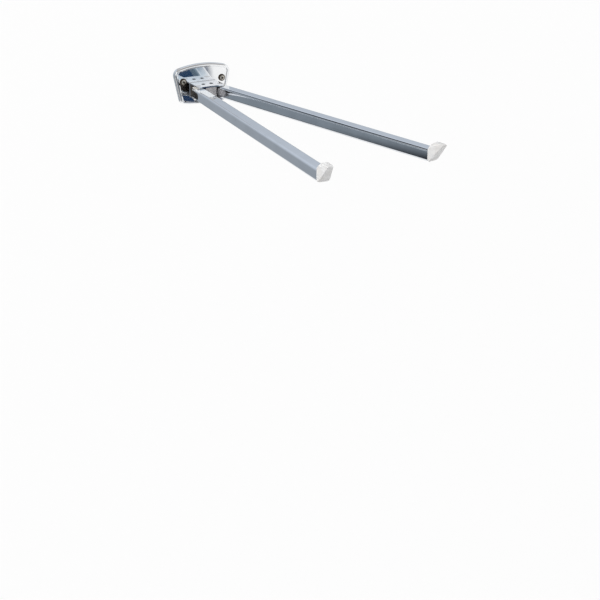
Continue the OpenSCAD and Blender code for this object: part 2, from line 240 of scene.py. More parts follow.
# A number that comes out of a node: sums, products and the like add the Math nodes
class Wire:
    def __init__(self, nodes, socket):
        self.nodes = nodes
        self.socket = socket

    def math(self, operation, *numbers):
        return self.nodes.put("ShaderNodeMath", {"operation": operation}, dict(enumerate(numbers)))

    def __add__(self, other):
        return self.math("ADD", self, other)

    def __radd__(self, other):
        return self.math("ADD", other, self)

    def __sub__(self, other):
        return self.math("SUBTRACT", self, other)

    def __rsub__(self, other):
        return self.math("SUBTRACT", other, self)

    def __mul__(self, other):
        return self.math("MULTIPLY", self, other)

    def __rmul__(self, other):
        return self.math("MULTIPLY", other, self)

    def __truediv__(self, other):
        return self.math("DIVIDE", self, other)

    def __pow__(self, other):
        return self.math("POWER", self, other)

    def __abs__(self):
        return self.math("ABSOLUTE", self)

    def sine(self):
        return self.math("SINE", self)

    def atMost(self, limit):
        return self.math("MINIMUM", self, limit)

    # 0 below low, 1 above high, and a soft step in between
    def step(self, low, high):
        return self.nodes.put("ShaderNodeMapRange", {"interpolation_type": "SMOOTHSTEP"},
                              {"Value": self, "From Min": low, "From Max": high})


# The nodes of a material or of the world
class Nodes:
    def __init__(self, tree):
        self.tree = tree

    # Adds any node: its settings first, then the values or links of its sockets
    def put(self, kind, settings=None, inputs=None, give=0):
        made = self.tree.nodes.new(kind)
        for key, value in (settings or {}).items():
            setattr(made, key, value)
        for key, value in (inputs or {}).items():
            if isinstance(value, Wire):
                self.tree.links.new(value.socket, made.inputs[key])
            else:
                made.inputs[key].default_value = value
        return Wire(self, made.outputs[give])


# A material with one Principled shader
class Finish(Nodes):
    def __init__(self, name, **values):
        self.material = bpy.data.materials.new(name)
        self.material.use_nodes = True
        super().__init__(self.material.node_tree)
        self.shader = self.tree.nodes["Principled BSDF"]
        for socket, value in values.items():
            self.shader.inputs[socket.replace("_", " ")].default_value = value
        self.place = self.put("ShaderNodeTexCoord", give="Object")

    def feed(self, socket, wire):
        self.tree.links.new(wire.socket, self.shader.inputs[socket])

    # Puts another shader in the place of the Principled one
    def show(self, shader):
        self.tree.links.new(shader.socket, self.tree.nodes["Material Output"].inputs["Surface"])

    # One of the object coordinates, in metres
    def along(self, axis):
        return self.put("ShaderNodeSeparateXYZ", None, {0: self.place}, give=axis)

    # Distance from an upright axis, in metres
    def fromAxis(self, axisX, axisY):
        apart = self.put("ShaderNodeVectorMath", {"operation": "SUBTRACT"},
                         {0: self.place, 1: (axisX * mm, axisY * mm, 0)})
        flat = self.put("ShaderNodeVectorMath", {"operation": "MULTIPLY"}, {0: apart, 1: (1, 1, 0)})
        return self.put("ShaderNodeVectorMath", {"operation": "LENGTH"}, {0: flat}, give="Value")

    # Object coordinates turned and stretched
    def spread(self, scale, turn=(0, 0, 0)):
        return self.put("ShaderNodeMapping", None, {
            "Vector": self.place, "Scale": scale,
            "Rotation": [math.radians(angle) for angle in turn]})

    def noise(self, size, detail=2.0, rough=0.5, place=None):
        return self.put("ShaderNodeTexNoise", None, {
            "Vector": place or self.place, "Scale": 1 / (size * mm), "Detail": detail,
            "Roughness": rough})

    def colours(self, factor, first, second):
        ends = [colour if isinstance(colour, Wire) else (*colour, 1) for colour in (first, second)]
        return self.put("ShaderNodeMix", {"data_type": "RGBA"},
                        {0: factor, 6: ends[0], 7: ends[1]}, give=2)

    def blend(self, factor, first, second):
        return self.put("ShaderNodeMixShader", None, {0: factor, 1: first, 2: second})

    def glow(self, colour=(1, 1, 1, 1)):
        return self.put("ShaderNodeEmission", None, {"Color": colour, "Strength": 1.0})

    def clear(self):
        return self.put("ShaderNodeBsdfTransparent", None, {"Color": (1, 1, 1, 1)})

    # Relief, from heights that run from 0 to 1 and their depths in millimetres
    def relief(self, *layers):
        normal = None
        for height, depth in layers:
            inputs = {"Height": height, "Distance": depth * mm, "Strength": 1.0}
            if normal:
                inputs["Normal"] = normal
            normal = self.put("ShaderNodeBump", None, inputs)
        self.feed("Normal", normal)


# Chrome plate: faint waviness of the metal below, fine hairlines and finger haze
def chromeFinish(name, haze, wave, grainTurn=0, bright=(0.80, 0.825, 0.86)):
    finish = Finish(name, Metallic=1.0)
    cloud = finish.noise(26, 3, 0.6)
    lines = finish.noise(0.55, 2, 0.7, finish.spread((1, 0.035, 1), (0, 0, grainTurn)))
    pits = finish.noise(1.6, 1, 0.4).step(0.72, 0.8)
    finish.feed("Base Color", finish.colours(cloud.step(0.35, 0.75) * 0.6 + pits * 0.4,
                                             bright, [c * 0.9 for c in bright]))
    finish.feed("Roughness", 0.045 + haze * cloud.step(0.4, 0.8) + 0.05 * lines.step(0.55, 0.8)
                + 0.12 * pits)
    finish.relief((finish.noise(18, 1, 0.4), wave), (lines, 0.0012), (pits, -0.002))
    return finish.material


# Inside the U the bracket is dull unplated metal, and its colour there is painted dark: painted shade
# between the flanges and the web
def bracketFinish(halfWidth, low, high):
    finish = Finish("chromeBracket")
    border = 0.05
    cloud = finish.noise(20, 3, 0.6)
    lines = finish.noise(0.5, 2, 0.7, finish.spread((0.05, 1, 1)))
    crust = finish.noise(1.3, 5, 0.7)
    height = finish.along("Z")
    # inside: the faces within the U, which get the painted shade
    inside = ((1 - abs(finish.along("X")).step((halfWidth - border) * mm, (halfWidth + border) * mm))
              * height.step((low - border) * mm, (low + border) * mm)
              * (1 - height.step((high - border) * mm, (high + border) * mm)))
    bright = finish.colours(cloud.step(0.35, 0.75), (0.80, 0.815, 0.85), (0.73, 0.745, 0.785))
    # dark: the painted shade colour inside the U, mottled by the crust noise
    dark = finish.colours(crust.step(0.35, 0.65), (0.13, 0.12, 0.11), (0.24, 0.225, 0.21))
    finish.feed("Base Color", finish.colours(inside, bright, dark))
    finish.feed("Metallic", 1 - 0.6 * inside)
    finish.feed("Roughness", 0.05 + 0.06 * cloud.step(0.4, 0.8) + 0.04 * lines.step(0.55, 0.8)
                + inside * (0.45 + 0.15 * crust))
    finish.relief((finish.noise(18, 1, 0.4), 0.02), (crust, 0.03 * inside))
    return finish.material


# Die-cast zinc: a skin with flow marks and a fine orange peel, between a light and a dark tone; the
# pivot blocks use a painted shade copy and a painted light copy of it
def castFinish(name, light, dark, metal=0.7, shine=0.5):
    finish = Finish(name, Metallic=metal, Specular_IOR_Level=shine)
    flow = finish.noise(9, 4, 0.65, finish.spread((1, 0.4, 1)))
    skin = finish.noise(0.9, 3, 0.6)
    deep = flow.step(0.35, 0.7)
    finish.feed("Base Color", finish.colours(deep, light, dark))
    finish.feed("Roughness", 0.36 + 0.2 * deep + 0.08 * skin)
    finish.relief((flow, 0.03), (skin, 0.018))
    return finish.material


# Zinc-plated sheet: large soft crystals and dull streaks
def zincFinish():
    finish = Finish("zincPlatedSteel", Metallic=0.9)
    crystals = finish.put("ShaderNodeTexVoronoi", None,
                          {"Vector": finish.place, "Scale": 160.0, "Randomness": 1.0}, give="Color")
    shade = finish.put("ShaderNodeSeparateColor", None, {0: crystals}, give=0)
    stain = finish.noise(14, 4, 0.6)
    finish.feed("Base Color", finish.colours(shade * 0.6 + stain * 0.4,
                                             (0.50, 0.515, 0.54), (0.66, 0.675, 0.69)))
    finish.feed("Roughness", 0.28 + 0.16 * shade + 0.14 * stain.step(0.4, 0.75))
    finish.relief((shade, 0.004), (finish.noise(0.7, 2, 0.6), 0.004))
    return finish.material


# Turned steel: tool rings about an upright axis
def turnedFinish(name, axisX, axisY, colour, dull):
    finish = Finish(name, Metallic=1.0)
    rings = (finish.fromAxis(axisX, axisY) * 38000.0).sine() * 0.5 + 0.5
    cloud = finish.noise(3, 3, 0.6)
    finish.feed("Base Color", finish.colours(cloud.step(0.35, 0.75), colour,
                                             [c * dull for c in colour]))
    finish.feed("Roughness", 0.2 + 0.12 * rings + 0.12 * cloud.step(0.4, 0.8))
    finish.relief((rings, 0.002), (finish.noise(0.35, 2, 0.6), 0.003))
    return finish.material


# Browned screw steel, worn bright in a blotchy ring round the middle of each head; the middle inside
# the ring stays dark as painted shade in the cross recess
def screwFinish(centreX, centreZ):
    finish = Finish("brownedScrewSteel", Metallic=1.0)
    across = abs(finish.along("X")) - centreX * mm
    height = finish.along("Z") - centreZ * mm
    radius = (across * across + height * height) ** 0.5
    blotch = finish.noise(1.4, 4, 0.65)
    # The ring leaves the middle of the head dark: painted shade in the cross recess
    ring = radius.step(0.9 * mm, 1.6 * mm) * (1 - radius.step(2.6 * mm, 3.6 * mm))
    worn = ring * blotch.step(0.3, 0.5)
    finish.feed("Base Color", finish.colours(worn, (0.085, 0.068, 0.055), (0.66, 0.63, 0.56)))
    finish.feed("Roughness", 0.46 - 0.16 * worn + 0.14 * blotch)
    finish.relief((blotch, 0.012), (finish.noise(0.3, 2, 0.6), 0.006))
    return finish.material


# Rivet steel: a painted highlight in the middle of each small head, dark all round it
def rivetFinish(name, centreX, centreY, coreRadius):
    finish = Finish(name, Metallic=1.0)
    mottle = finish.noise(0.8, 4, 0.65)
    ragged = finish.fromAxis(centreX, centreY) + mottle * (0.6 * mm)
    # paintedHighlight: 1 in the middle of the head, where the highlight is painted, and 0 in the dark
    # round it
    paintedHighlight = 1 - ragged.step(0.85 * coreRadius * mm, 1.25 * coreRadius * mm)
    finish.feed("Base Color", finish.colours(paintedHighlight, (0.035, 0.04, 0.055), (0.58, 0.60, 0.63)))
    finish.feed("Roughness", 0.22 + 0.3 * paintedHighlight + 0.1 * mottle)
    finish.relief((mottle, 0.006), (finish.noise(0.3, 2, 0.6), 0.003))
    return finish.material


# Moulded off-white plastic: eroded-tool grain, flow clouds and light scuffs
def capFinish():
    finish = Finish("capPlastic", Specular_IOR_Level=0.45)
    cloud = finish.noise(11, 3, 0.55)
    grain = finish.noise(0.42, 3, 0.6)
    mark = finish.noise(0.9, 2, 0.7, finish.spread((1, 0.16, 0.6), (20, 0, 30))).step(0.66, 0.8)
    tone = finish.colours(cloud.step(0.35, 0.75), (0.83, 0.83, 0.83), (0.79, 0.77, 0.75))
    finish.feed("Base Color", finish.colours(mark * 0.2, tone, (0.74, 0.73, 0.72)))
    finish.feed("Roughness", 0.38 + 0.08 * cloud + 0.06 * mark)
    finish.relief((grain, 0.004), (mark, -0.001))
    return finish.material


# Natural nylon: milky, slightly yellow, with machining haze
def nylonFinish():
    finish = Finish("naturalNylon", Specular_IOR_Level=0.5)
    cloud = finish.noise(4, 3, 0.6)
    finish.feed("Base Color", finish.colours(cloud, (0.84, 0.82, 0.76), (0.76, 0.735, 0.66)))
    finish.feed("Roughness", 0.42 + 0.16 * cloud)
    finish.relief((finish.noise(0.4, 2, 0.6), 0.008))
    return finish.material


# Wall plate: a pressed chrome cover with a rounded rim round a flat panel

plateSizes = {
    "upperWidth": 79, "lowerWidth": 66, "height": 54, "depth": 7, "sheet": 1.6,
    "upperCorner": 9, "lowerCorner": 7, "upperBow": 130, "lowerBow": 170,
    "rimWidth": 3.2, "rimRound": 2.6, "panelStep": 0.7, "stepSlope": 1.1, "edge": 0.12,
}


# Two bows and four corner arcs, tangent to one another and to the slanting sides
def plateOutline():
    s = plateSizes
    steps = 14
    top = s["height"] / 2
    upperX = s["upperWidth"] / 2 - s["upperCorner"]
    upperZ = top - s["upperBow"] + math.sqrt((s["upperBow"] - s["upperCorner"]) ** 2 - upperX ** 2)
    lowerX = s["lowerWidth"] / 2 - s["lowerCorner"]
    lowerZ = -top + s["lowerBow"] - math.sqrt((s["lowerBow"] - s["lowerCorner"]) ** 2 - lowerX ** 2)
    side = math.degrees(math.atan2(upperZ - lowerZ, upperX - lowerX) - math.acos(
        (s["lowerCorner"] - s["upperCorner"]) / math.hypot(upperX - lowerX, upperZ - lowerZ)))
    upperTangent = math.degrees(math.atan2(upperZ - top + s["upperBow"], upperX))
    lowerTangent = math.degrees(math.atan2(lowerZ - s["lowerBow"] + top, lowerX))
    half = (arc((0, top - s["upperBow"]), s["upperBow"], 90, upperTangent, steps)
            + arc((upperX, upperZ), s["upperCorner"], upperTangent, side, steps)[1:]
            + arc((lowerX, lowerZ), s["lowerCorner"], side, lowerTangent, steps)
            + arc((0, s["lowerBow"] - top), s["lowerBow"], lowerTangent, -90, steps)[1:])
    return half + [(-x, z) for x, z in reversed(half[1:-1])]


def wallPlate():
    s = plateSizes
    piece = addOutline("wallPlateCover", [(x, 0, z) for x, z in plateOutline()])
    thicken(piece, (0, -s["depth"], 0))
    enter(piece)
    # The rim's outer edge is rolled over
    pick("EDGE", lambda e: middle(e).y < -s["depth"] + 0.01)
    bpy.ops.mesh.bevel(offset=s["rimRound"] * mm, segments=8, affect="EDGES", clamp_overlap=False)
    # The panel is pressed back inside the rim
    pick("FACE", lambda f: f.normal.y < -0.999 and len(f.verts) > 20)
    bpy.ops.mesh.inset(thickness=(s["rimWidth"] - s["rimRound"]) * mm, use_even_offset=True)
    bpy.ops.mesh.inset(thickness=s["stepSlope"] * mm, depth=-s["panelStep"] * mm,
                       use_even_offset=True)
    # The back is hollow, down to the sheet's thickness
    pick("FACE", lambda f: f.normal.y > 0.999 and len(f.verts) > 20)
    bpy.ops.mesh.inset(thickness=s["sheet"] * mm, use_even_offset=True)
    extrude((0, -(s["depth"] - s["panelStep"] - s["sheet"]), 0))
    leave()
    return polish(piece, s["edge"], segments=2, sharpest=30)


chromePlate = chromeFinish("chromePlate", haze=0.04, wave=0.03, bright=(0.93, 0.94, 0.95))
dress(wallPlate(), chromePlate, "chrome", "wall_mount", "wall_plate")
print("wall plate made")


# Hinge bracket: a U of thick sheet, web on the panel, one flange above and one below the arms

bracketSizes = {
    "width": 37.4, "reach": 29.6, "panel": 6.3, "top": 3.5, "bottom": -15.9, "sheet": 1.7,
    "frontCorner": 3, "bend": 1.5, "pinX": 15.7, "pinY": -27.8, "pinHead": 7.3, "headCut": 3,
    "pin": 5.2, "pinCut": 6, "edge": 0.22, "platedBorder": 0.2,
}


def hingeBracket():
    s = bracketSizes
    front, back = -s["panel"] - s["reach"], -s["panel"]
    piece = addBox("hingeBracket", (-s["width"] / 2, front, s["bottom"]),
                   (s["width"] / 2, back, s["top"]))
    enter(piece)
    pick("FACE", lambda f: abs(f.normal.x) > 0.9 or f.normal.y < -0.9)
    bpy.ops.mesh.delete(type="FACE")
    pick("EDGE", lambda e: middle(e).y > back - 0.01 and abs(direction(e).x) > 0.9)
    bpy.ops.mesh.bevel(offset=s["bend"] * mm, segments=6, affect="EDGES")
    pick("VERT", lambda v: v.co.y / mm < front + 0.01)
    bpy.ops.mesh.bevel(offset=s["frontCorner"] * mm, segments=8, affect="VERTICES")
    leave()
    modify(piece, "SOLIDIFY", thickness=s["sheet"] * mm, offset=-1, use_even_offset=True)
    for side in words:
        for width, depth, height in ((s["pinHead"], s["headCut"], s["top"]),
                                     (s["pin"], s["pinCut"], s["bottom"])):
            cutWith(piece, addRod("pinHole", width / 2, depth, (side * s["pinX"], s["pinY"], height)))
    return polish(piece, s["edge"], segments=3, sharpest=35)


chromeBracket = bracketFinish(bracketSizes["width"] / 2 - bracketSizes["platedBorder"],
                              bracketSizes["bottom"] + bracketSizes["sheet"],
                              bracketSizes["top"] - bracketSizes["sheet"])
dress(hingeBracket(), chromeBracket, "chrome", "wall_mount", "hinge_bracket")
print("hinge bracket made")


# Arms: square tubes with round corners, forked at the root round a pivot block

armSizes = {
    "width": 15.4, "height": 14.8, "wall": 1.2, "corner": 3, "length": 392, "windowEnd": 20,
    "pivotX": 15.7, "pivotY": -27.8, "axisZ": -6.2, "turn": {-1: -3, 1: 14}, "edge": 0.2,
    "cutReach": 20,
}


def placeArm(piece, side):
    s = armSizes
    return settle(piece, (side * s["pivotX"], s["pivotY"], s["axisZ"]), (0, 0, s["turn"][side]))


def armTube(name):
    s = armSizes
    halfW, halfH, reach = s["width"] / 2, s["height"] / 2, s["cutReach"]
    piece = addBox(name, (-halfW, -s["length"], -halfH), (halfW, halfW, halfH))
    enter(piece)
    pick("FACE", lambda f: abs(f.normal.y) > 0.9)
    bpy.ops.mesh.delete(type="FACE")
    pick("EDGE", lambda e: abs(direction(e).y) > 0.9)
    bpy.ops.mesh.bevel(offset=s["corner"] * mm, segments=8, affect="EDGES")
    leave()
    modify(piece, "SOLIDIFY", thickness=s["wall"] * mm, offset=-1, use_even_offset=True)
    # Top and bottom end round about the pivot
    plan = [(-x, y) for x, y in arc((0, 0), halfW, 0, 180, 28)]
    plan += [(halfW, -2 * s["length"]), (-halfW, -2 * s["length"])]
    rootPlan = addOutline("rootPlan", [(x, y, -reach) for x, y in plan])
    cutWith(piece, thicken(rootPlan, (0, 0, 2 * reach)), "INTERSECT")
    # Both sides are open from the root to a round end
    windowR = halfH - s["corner"]
    outline = [(-(s["windowEnd"] - windowR) + y, z) for y, z in arc((0, 0), windowR, 90, 270, 20)]
    outline += [(reach, -windowR), (reach, windowR)]
    window = addOutline("window", [(-reach, y, z) for y, z in outline])
    cutWith(piece, thicken(window, (2 * reach, 0, 0)))
    return polish(piece, s["edge"], segments=2, sharpest=30)


tube = armTube("leftArmTube")
for piece, side in ((tube, -1), (copyOf(tube, "rightArmTube"), 1)):
    word = words[side]
    chrome = chromeFinish(word + "TubeChrome", haze=0.07, wave=0.015, grainTurn=-armSizes["turn"][side])
    dress(placeArm(piece, side), chrome, "chrome", word + "_arm", word + "_arm_tube")
print("arm tubes made")


# End caps: moulded plugs with a domed crown, tapered sides and an oblique front

capSizes = {
    "width": 16, "low": -7.7, "shoulder": 7.7, "top": 16.5, "length": 19.4, "swell": 8.3,
    "swellPower": 2.4, "swellSteps": 16, "fall": 1.4, "taper": 4.4, "arch": 9.4, "lowEdge": 4,
    "foot": 0.4, "footRound": 1.4, "nose": 1.2, "spare": 1,
    "voxel": 0.26, "softening": 18, "frontSoftening": 60, "frontStart": 1.5, "frontFull": 7,
    "crownStart": -2, "crownFull": 9, "leastShare": 0.1,
    "plugOverlap": 0.6, "plugLength": 14, "plugDepth": 13, "plugWall": 1.8, "plugWidth": 12.96,
    "plugHeight": 12.36, "plugCorner": 1.8, "plugEdge": 0.3,
}


# Seen from the side: the back swells to the crown, which falls a little to the nose, and the front
# leans back to the foot
def capSide():
    s = capSizes
    steps, rise = s["swellSteps"], s["top"] - s["shoulder"]
    back = [(s["swell"] * i / steps, s["top"] - rise * (1 - i / steps) ** s["swellPower"])
            for i in range(steps + 1)]
    nose = (s["length"] - s["nose"], s["top"] - s["fall"] - s["nose"])
    foot = (s["foot"], s["low"] + s["footRound"])
    crown = math.degrees(math.atan2(s["fall"], nose[0] - s["swell"]))
    across, up = nose[0] - foot[0], nose[1] - foot[1]
    front = math.degrees(math.atan2(up, across)
                         + math.asin((s["footRound"] - s["nose"]) / math.hypot(across, up)))
    return (back + arc(nose, s["nose"], 90 - crown, front - 90, 10)
            + arc(foot, s["footRound"], front - 90, -90, 6) + [(0, s["low"])])


# Seen from the front: an arched crown, and two rounded lower edges
def capFront():
    s = capSizes
    half, r = s["width"] / 2, s["lowEdge"]
    crown = [(half * math.cos(math.radians(a)), s["top"] + s["arch"] * (math.sin(math.radians(a)) - 1))
             for a in range(0, 181, 6)]
    return (crown + arc((r - half, s["low"] + r), r, 180, 270, 8)
            + arc((half - r, s["low"] + r), r, 270, 360, 8))


# A hollow plug runs back into the tube
def capPlug(start):
    s = capSizes
    plug = addBox("capPlug", (-s["plugWidth"] / 2, start - s["plugOverlap"], -s["plugHeight"] / 2),
                  (s["plugWidth"] / 2, start + s["plugLength"], s["plugHeight"] / 2))
    enter(plug)
    pick("EDGE", lambda e: abs(direction(e).y) > 0.9)
    bpy.ops.mesh.bevel(offset=s["plugCorner"] * mm, segments=5, affect="EDGES")
    pick("FACE", lambda f: f.normal.y > 0.99)
    bpy.ops.mesh.inset(thickness=s["plugWall"] * mm, use_even_offset=True)
    extrude((0, -s["plugDepth"], 0))
    leave()
    return polish(plug, s["plugEdge"], segments=2, sharpest=40)


# The common part of the side, front and plan views, with no sharp edge anywhere
def endCap(name):
    s = capSizes
    start, half, spare = -armSizes["length"], s["width"] / 2, s["spare"]
    out = s["length"] + spare
    piece = addOutline(name, [(-half - spare, start - along, up) for along, up in capSide()])
    thicken(piece, (s["width"] + 2 * spare, 0, 0))
    front = addOutline("capFront", [(x, start + spare, z) for x, z in capFront()])
    cutWith(piece, thicken(front, (0, -out - spare, 0)), "INTERSECT")
    tip = half - s["taper"] * out / s["length"]
    plan = [(-half, spare), (-half, 0), (-tip, -out), (tip, -out), (half, 0), (half, spare)]
    sides = addOutline("capPlan", [(x, start + y, s["low"] - spare) for x, y in plan])
    cutWith(piece, thicken(sides, (0, 0, s["top"] - s["low"] + 2 * spare)), "INTERSECT")
    modify(piece, "REMESH", mode="VOXEL", voxel_size=s["voxel"] * mm)
    modify(piece, "SMOOTH", factor=0.5, iterations=s["softening"])
    # The front is softer than the rest, and most so near the crown
    soft = piece.vertex_groups.new(name="front")
    for vertex in piece.data.vertices:
        along, up = start - vertex.co.y / mm, vertex.co.z / mm
        forward = (along - s["frontStart"]) / (s["frontFull"] - s["frontStart"])
        high = (up - s["crownStart"]) / (s["crownFull"] - s["crownStart"])
        share = min(1, max(0, forward)) * min(1, max(s["leastShare"], high))
        soft.add([vertex.index], share, "REPLACE")
    modify(piece, "SMOOTH", factor=0.5, iterations=s["frontSoftening"], vertex_group="front")
    makeActive(piece)
    bpy.ops.object.shade_smooth()
    return joinTo(piece, capPlug(start))


capPlastic = capFinish()
cap = endCap("leftEndCap")
for piece, side in ((cap, -1), (copyOf(cap, "rightEndCap"), 1)):
    word = words[side]
    dress(placeArm(piece, side), capPlastic, "cap_plastic", word + "_arm", word + "_end_cap")
print("end caps made")


# Wall screws: pan heads with a cross recess, a plain neck and a coarse thread

screwSizes = {
    "spacing": 55.6, "height": 5.5, "panel": 6.3, "headRadius": 4.6, "headHeight": 2.7, "headSide": 1,
    "headEdge": 0.25, "neckRadius": 1.7, "neckOverlap": 0.5, "threadRadius": 2.25, "coreRadius": 1.5,
    "length": 45, "point": 6, "pointShare": 0.12, "threadStart": 5.8, "pitch": 2.1,
    "rootShare": 0.3, "flankShare": 0.17, "crestShare": 0.06,
    "recessLength": 5, "recessWidth": 1.3, "recessDepth": 1.6, "recessTaper": (0.55, 0.7, 1),
    "edge": 0.08, "turn": {-1: 18, 1: -34},
}


def wallScrew(name):
    s = screwSizes
    rise = s["headHeight"] - s["headSide"]
    dome = [(s["headRadius"] * math.cos(a), s["headSide"] + rise * math.sin(a))
            for a in [math.radians(9 * i) for i in range(10)]]
    section = [(s["neckRadius"], -s["threadStart"] - s["neckOverlap"]), (s["neckRadius"], 0),
               (s["headRadius"] - s["headEdge"], 0), (s["headRadius"], s["headEdge"])]
    head = addTurned(name, section + dome + [(0, s["headHeight"])], 48)
    for turn in (0, 90):
        arm = addBox("recess", (-s["recessLength"] / 2, -s["recessWidth"] / 2,
                                s["headHeight"] - s["recessDepth"]),
                     (s["recessLength"] / 2, s["recessWidth"] / 2, s["headHeight"] + 1))
        enter(arm)
        pick("FACE", lambda f: f.normal.z < -0.9)
        bpy.ops.transform.resize(value=s["recessTaper"])
        leave()
        cutWith(head, settle(arm, turn=(0, 0, turn)))
    polish(head, s["edge"], segments=2, sharpest=32)
    return joinTo(head, screwThread())


# One turn of the thread's flank, repeated down the shank and drawn in at the point
def screwThread():
    s = screwSizes
    root, crest, pitch = s["coreRadius"], s["threadRadius"], s["pitch"]
    turns = int((s["length"] - s["threadStart"]) / pitch)
    bottom = -s["length"]
    profile = [(root, bottom)]
    for radius, share in ((root, "rootShare"), (crest, "flankShare"), (crest, "crestShare"),
                          (root, "flankShare"), (root, "rootShare")):
        profile.append((radius, profile[-1][1] + s[share] * pitch))
    piece = drawLine("screwThread", profile)
    leave()
    modify(piece, "SCREW", axis="Z", angle=2 * math.pi, screw_offset=pitch * mm, iterations=turns,
           steps=20, render_steps=20, use_merge_vertices=True, merge_threshold=0.002 * mm)
    for vertex in piece.data.vertices:
        above = vertex.co.z / mm - bottom
        if above < s["point"]:
            narrow = s["pointShare"] + (1 - s["pointShare"]) * max(above, 0) / s["point"]
            vertex.co.x *= narrow
            vertex.co.y *= narrow
    enter(piece)
    turnOutward()
    leave()
    return smoothUpTo(piece, 35)


screwMetal = screwFinish(screwSizes["spacing"] / 2, screwSizes["height"])
screw = wallScrew("leftWallScrew")
for piece, side in ((screw, -1), (copyOf(screw, "rightWallScrew"), 1)):
    s = screwSizes
    settle(piece, turn=(0, 0, s["turn"][side]))
    settle(piece, (side * s["spacing"] / 2, -s["panel"], s["height"]), (90, 0, 0))
    dress(piece, screwMetal, "screw_steel", "wall_mount", "wall_screws")
print("wall screws made")


# Spacer between the arms' roots: a cast block with rounded edges and a cored pocket in its front

spacerSizes = {
    "halfWidth": 7.7, "front": -35.2, "back": -18.2, "bottom": -14.2, "top": 1.8, "corner": 1.4,
    "pocketInset": 2.2, "pocketSlope": 0.3, "pocketDepth": 0.4, "edge": 0.3,
}


def centreSpacer():
    s = spacerSizes
    piece = addBox("centreSpacer", (-s["halfWidth"], s["front"], s["bottom"]),
                   (s["halfWidth"], s["back"], s["top"]))
    enter(piece)
    pick("EDGE", lambda e: abs(direction(e).z) > 0.9)
    bpy.ops.mesh.bevel(offset=s["corner"] * mm, segments=5, affect="EDGES")
    pick("FACE", lambda f: f.normal.y < -0.99)
    bpy.ops.mesh.inset(thickness=s["pocketInset"] * mm, use_even_offset=True)
    bpy.ops.mesh.inset(thickness=s["pocketSlope"] * mm, depth=-s["pocketDepth"] * mm,
                       use_even_offset=True)
    leave()
    return polish(piece, s["edge"], segments=3, sharpest=35)


castZinc = castFinish("dieCastZinc", (0.66, 0.635, 0.635), (0.47, 0.45, 0.45))
dress(centreSpacer(), castZinc, "die_cast", "wall_mount", "centre_spacer")
print("spacer made")


# Rivets: two through the web, and two small tubular ones that hold the spacer

rivetSizes = {
    "spacing": 18.7, "height": -6.2, "radius": 2, "headRadius": 3.4, "headHeight": 1, "headEdge": 0.1,
    "front": -8.3, "back": -2.1,
    "smallSpacing": 11.4, "smallY": -22.0, "smallRadius": 1.2, "smallHead": 2.6, "smallHeight": 0.35,
    "upper": 3.5, "lower": -15.9, "holeEdge": 0.7, "holeBottom": 0.8, "paintedHighlight": 0.85,
}


# A rivet that is alike at both ends, from the half section of its upper end
def addRivet(name, upperEnd, steps):
    lowerEnd = [(radius, -height) for radius, height in reversed(upperEnd)]
    return smoothUpTo(addTurned(name, lowerEnd + upperEnd, steps), 35)


def bracketRivet(name):
    s = rivetSizes
    half = (s["back"] - s["front"]) / 2
    r, h = s["headRadius"], s["headHeight"]
    return addRivet(name, [
        (s["radius"], half), (r - s["headEdge"], half), (r, half + 0.12 * h),
        (r * 0.97, half + h * 0.42), (r * 0.8, half + h * 0.76), (r * 0.5, half + h * 0.95),
        (0, half + h)], 36)


def spacerRivet(name):
    s = rivetSizes
    half = (s["upper"] - s["lower"]) / 2
    r, h = s["smallHead"], s["smallHeight"]
    return addRivet(name, [
        (s["smallRadius"], half), (r, half), (r, half + h * 0.5), (r * 0.85, half + h * 0.9),
        (r * 0.62, half + h), (r * 0.42, half + h * 0.8), (r * 0.36, half - s["holeEdge"]),
        (0, half - s["holeBottom"])], 28)


rivetSteel = turnedFinish("rivetSteel", 0, rivetSizes["smallY"], (0.66, 0.665, 0.68), 0.8)
for side, word in words.items():
    s = rivetSizes
    rivet = bracketRivet(word + "BracketRivet")
    settle(rivet, (side * s["spacing"] / 2, (s["front"] + s["back"]) / 2, s["height"]), (90, 0, 0))
    dress(rivet, rivetSteel, "steel", "wall_mount", "bracket_rivets")
    smallX = side * s["smallSpacing"] / 2
    small = spacerRivet(word + "SpacerRivet")
    settle(small, (smallX, s["smallY"], (s["upper"] + s["lower"]) / 2))
    smallSteel = rivetFinish(word + "SmallRivetSteel", smallX, s["smallY"], s["paintedHighlight"])
    dress(small, smallSteel, "steel", "wall_mount", "spacer_rivets")
print("rivets made")


# The small parts that keep their own shape get their finishes

def finishNode(name, material):
    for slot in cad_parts[name].material_slots:
        slot.material = material


zincSheet = zincFinish()
nylon = nylonFinish()
# The pivot blocks are one cast material in two copies: the left is painted shade, near black and dull,
# and the right is painted light, paler than the spacer
blockZinc = {
    -1: castFinish("paintedShadeZinc", (0.030, 0.025, 0.022), (0.013, 0.011, 0.010), metal=0.1, shine=0.12),
    1: castFinish("paintedLightZinc", (0.72, 0.72, 0.75), (0.54, 0.54, 0.57)),
}
finishNode("backing_plate", zincSheet)
for side, word in words.items():
    axis = (side * armSizes["pivotX"], armSizes["pivotY"])
    finishNode(word + "_pivot_pin", turnedFinish(word + "PinSteel", *axis, (0.70, 0.71, 0.73), 0.85))
    finishNode(word + "_spring_washer",
               turnedFinish(word + "SpringSteel", *axis, (0.42, 0.43, 0.45), 0.75))
    finishNode(word + "_retaining_clip", zincSheet)
    finishNode(word + "_pivot_block", blockZinc[side])
    for part in ("_pivot_bush", "_upper_washer", "_lower_washer"):
        finishNode(word + part, nylon)
print("small parts finished")


# Camera, as the photograph was taken: its place is in metres

cameraSizes = {
    "x": -0.7565, "y": -1.7850, "z": 0.4811, "yaw": 26.86, "down": 22.36, "roll": 0.2,
    "lens": 88.52, "sensor": 36, "near": 0.05, "far": 60,
}


